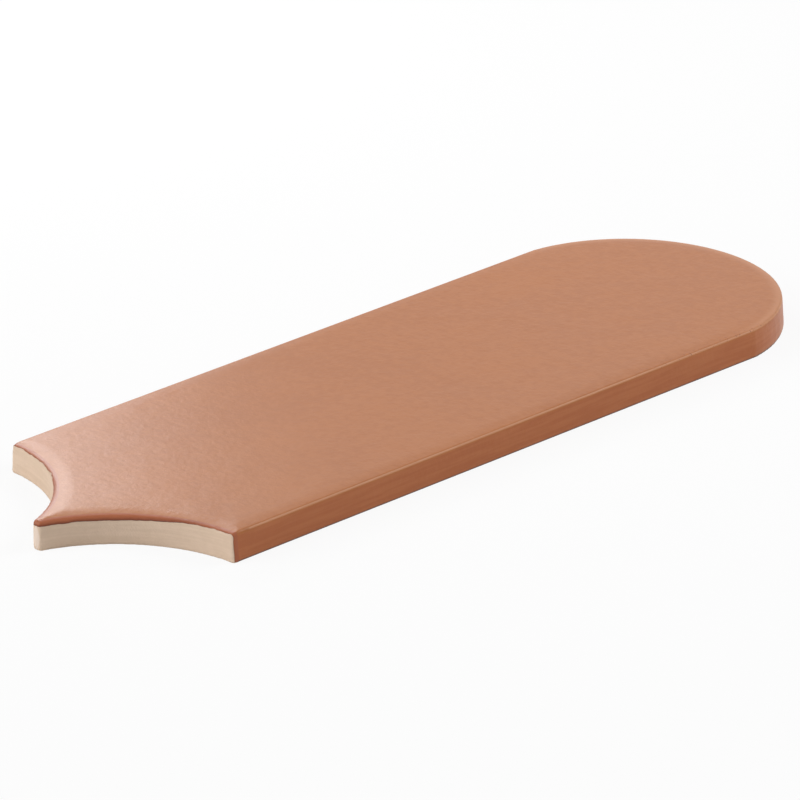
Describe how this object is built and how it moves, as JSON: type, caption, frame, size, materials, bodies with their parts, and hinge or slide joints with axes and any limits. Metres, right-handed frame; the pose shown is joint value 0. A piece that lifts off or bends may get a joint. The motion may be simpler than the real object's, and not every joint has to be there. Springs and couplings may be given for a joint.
{
  "type": "fish scale wall tile",
  "caption": "Long wall tile with a rounded head, straight sides and a blunt pointed tail between round hollows, glazed on a face rolled down to its edges.",
  "frame": {"origin": "middle of the tile's overall length and width, on the plane of its flat back", "axes": "+Y along the tile from its pointed tail to its rounded head, +Z out of the glazed face, +X to the right across the face when the head is up"},
  "size_m": [0.08, 0.2486, 0.008],
  "materials": {
    "glaze": "satin copper-brown glaze on the face, long sides and head; bare cream fired clay on the walls of the tail hollows, the tail tip and the back"
  },
  "bodies": {
    "root": {"tile": "glaze"}
  },
  "joints": []
}
